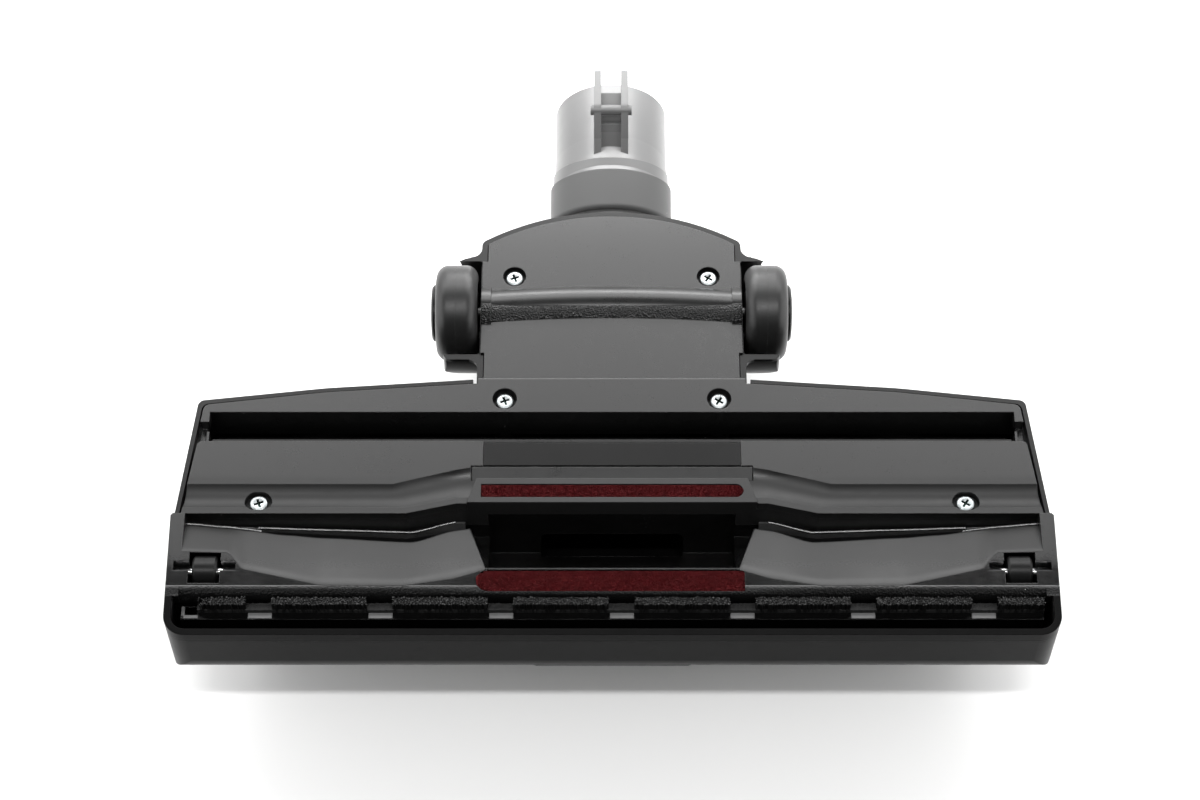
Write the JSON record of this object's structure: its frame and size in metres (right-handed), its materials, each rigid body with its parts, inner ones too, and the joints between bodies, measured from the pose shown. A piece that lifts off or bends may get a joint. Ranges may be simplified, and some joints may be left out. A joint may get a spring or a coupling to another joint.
{
  "type": "vacuum floor brush head",
  "caption": "Wide vacuum cleaner floor head with a scooped sole, foot-switched brush, red lint strips, rear wheels and a tilting, swivelling neck.",
  "frame": {"origin": "centre of the bounding box at its base: the head lies on its top cover, sole up, as in the picture", "axes": "+Z out of the sole, +X across the head, +Y from the front edge towards the tube"},
  "size_m": [0.282, 0.2246, 0.0578],
  "materials": {
    "cover_plastic": "satin moulded",
    "sole_plastic": "satin moulded",
    "bumper_plastic": "fine grain",
    "inner_plastic": "plain moulded",
    "joint_plastic": "satin moulded",
    "tube_plastic": "satin moulded",
    "pedal_plastic": "satin moulded",
    "wheel_plastic": "satin moulded",
    "wheel_rubber": "soft matt",
    "seal_rubber": "soft matt",
    "velour": "short red pile",
    "bristle_fibre": "dense short pile",
    "zinc_steel": "zinc plated",
    "pin_steel": "bright drawn"
  },
  "bodies": {
    "head": {"top_cover": "cover_plastic", "base_plate": "sole_plastic", "sole_pad_left": "sole_plastic", "sole_pad_right": "sole_plastic", "centre_panel": "sole_plastic", "front_bumper": "bumper_plastic", "neck_plate": "sole_plastic", "suction_duct": "inner_plastic", "duct_seal": "seal_rubber", "front_lint_strip": "velour", "rear_lint_strip": "velour", "neck_screws": "zinc_steel", "flange_screws": "zinc_steel", "sole_screws": "zinc_steel", "wheel_axle": "pin_steel", "roller_pin_left": "pin_steel", "roller_pin_right": "pin_steel", "pedal_pin": "pin_steel", "pedal_spring": "pin_steel"},
    "wheel_left": {"wheel_hub_left": "wheel_plastic", "wheel_tyre_left": "wheel_rubber", "hub_cap_left": "wheel_plastic"},
    "wheel_right": {"wheel_hub_right": "wheel_plastic", "wheel_tyre_right": "wheel_rubber", "hub_cap_right": "wheel_plastic"},
    "small_roller_left": {"roller_left": "wheel_plastic"},
    "small_roller_right": {"roller_right": "wheel_plastic"},
    "elbow": {"knee": "joint_plastic", "swivel_collar": "joint_plastic"},
    "tube": {"swivel_tube": "tube_plastic"},
    "pedal": {"foot_pedal": "pedal_plastic"},
    "brush": {"brush_frame": "inner_plastic", "front_bristles": "bristle_fibre", "rear_blade": "seal_rubber"}
  },
  "joints": [
    {"name": "elbow_tilt", "type": "hinge", "parent": "head", "child": "elbow", "pos_m": [0, 0.03375, 0.0243], "axis": [-1, 0, 0], "range_deg": [0, 85]},
    {"name": "tube_swivel", "type": "hinge", "parent": "elbow", "child": "tube", "pos_m": [0, 0.07925, 0.0248], "axis": [0, 0.9724, 0.2334], "continuous": true},
    {"name": "wheel_left_spin", "type": "hinge", "parent": "head", "child": "wheel_left", "pos_m": [-0.052, 0.01675, 0.0415], "axis": [1, 0, 0], "continuous": true},
    {"name": "wheel_right_spin", "type": "hinge", "parent": "head", "child": "wheel_right", "pos_m": [0.052, 0.01675, 0.0415], "axis": [1, 0, 0], "continuous": true},
    {"name": "roller_left_spin", "type": "hinge", "parent": "head", "child": "small_roller_left", "pos_m": [-0.1288, -0.08785, 0.0515], "axis": [1, 0, 0], "continuous": true},
    {"name": "roller_right_spin", "type": "hinge", "parent": "head", "child": "small_roller_right", "pos_m": [0.1288, -0.08785, 0.0515], "axis": [1, 0, 0], "continuous": true},
    {"name": "pedal_rock", "type": "hinge", "parent": "head", "child": "pedal", "pos_m": [0, -0.03025, 0.0095], "axis": [-1, 0, 0], "range_deg": [0, 13.8]},
    {"name": "brush_slide", "type": "slide", "parent": "head", "child": "brush", "axis": [0, 0, 1], "range_m": [0, 0.006]}
  ],
  "couplings": [
    {"joint": "pedal_rock", "follows": "brush_slide", "rad_per_m": 40}
  ]
}
